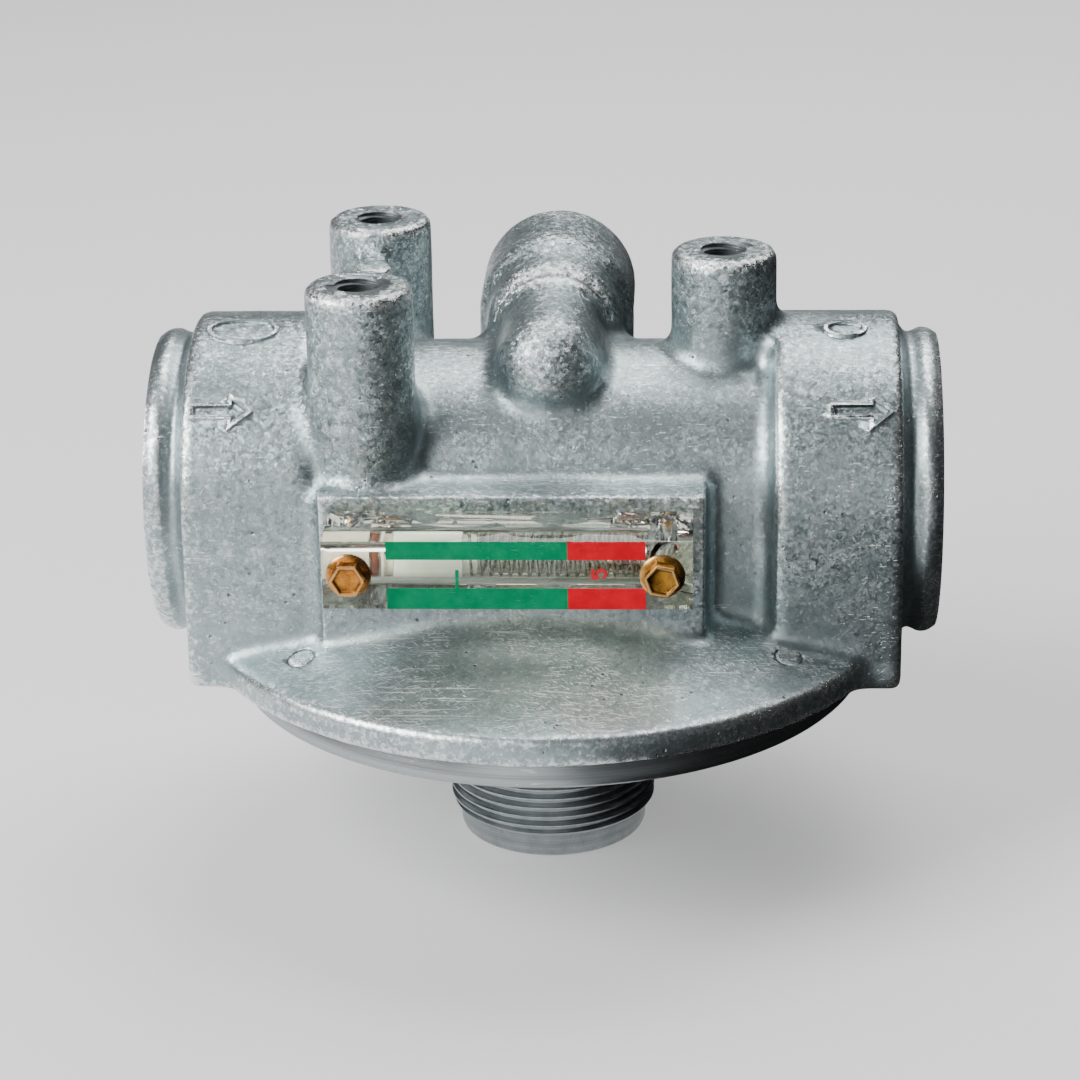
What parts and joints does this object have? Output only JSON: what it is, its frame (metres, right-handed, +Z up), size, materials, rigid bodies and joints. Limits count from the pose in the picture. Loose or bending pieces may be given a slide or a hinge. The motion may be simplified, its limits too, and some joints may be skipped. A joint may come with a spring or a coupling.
{
  "type": "compressed air filter head",
  "caption": "Cast spin-on filter head with threaded line ports, a threaded can spigot, a bypass valve and a clear indicator block that shows the pressure drop.",
  "frame": {"origin": "on the can axis at the lower end of the threaded spigot, which is the middle of the box's underside", "axes": "+X with the flow, from the inlet to the outlet port; +Z up along the can axis; -Y to the front, where the indicator is"},
  "size_m": [0.163, 0.1494, 0.1304],
  "materials": {
    "cast_aluminium": "as die cast, spangled and worn bright along its edges",
    "spigot_steel": "turned, slightly dull",
    "plug_steel": "turned and zinc plated",
    "black_seal": "moulded nitrile",
    "poppet_brass": "turned",
    "spring_steel": "drawn wire",
    "clear_acrylic": "machined and polished clear acrylic",
    "white_plastic": "turned white plastic",
    "ivory_plastic": "turned ivory plastic",
    "brown_seal": "moulded silicone",
    "copper_screw": "yellow passivated steel, coppery",
    "gold_screw": "yellow passivated steel, golden",
    "green_film": "printed film",
    "red_film": "printed film"
  },
  "bodies": {
    "head": {"head_casting": "cast_aluminium", "can_spigot": "spigot_steel", "bypass_plug": "plug_steel", "bypass_plug_o_ring": "black_seal", "bypass_spring": "spring_steel", "indicator_block": "clear_acrylic", "indicator_spring": "spring_steel", "indicator_end_plug": "ivory_plastic", "indicator_plug_o_ring": "brown_seal", "inlet_port_o_ring": "brown_seal", "outlet_port_o_ring": "brown_seal", "indicator_screw_left": "copper_screw", "indicator_screw_right": "gold_screw", "upper_green_strip": "green_film", "upper_red_strip": "red_film", "lower_green_strip": "green_film", "lower_red_strip": "red_film", "scale_tick": "green_film", "scale_numeral": "red_film"},
    "piston": {"indicator_piston": "white_plastic"},
    "poppet": {"bypass_poppet": "poppet_brass"}
  },
  "joints": [
    {"name": "piston_slide", "type": "slide", "parent": "head", "child": "piston", "axis": [1, 0, 0], "range_m": [0, 0.024], "stiffness_N_per_m": 75, "springref_m": -0.004, "deforming": ["indicator_spring"]},
    {"name": "poppet_lift", "type": "slide", "parent": "head", "child": "poppet", "axis": [0, 1, 0], "range_m": [0, 0.006], "stiffness_N_per_m": 3000, "springref_m": -0.0075, "deforming": ["bypass_spring"]}
  ]
}
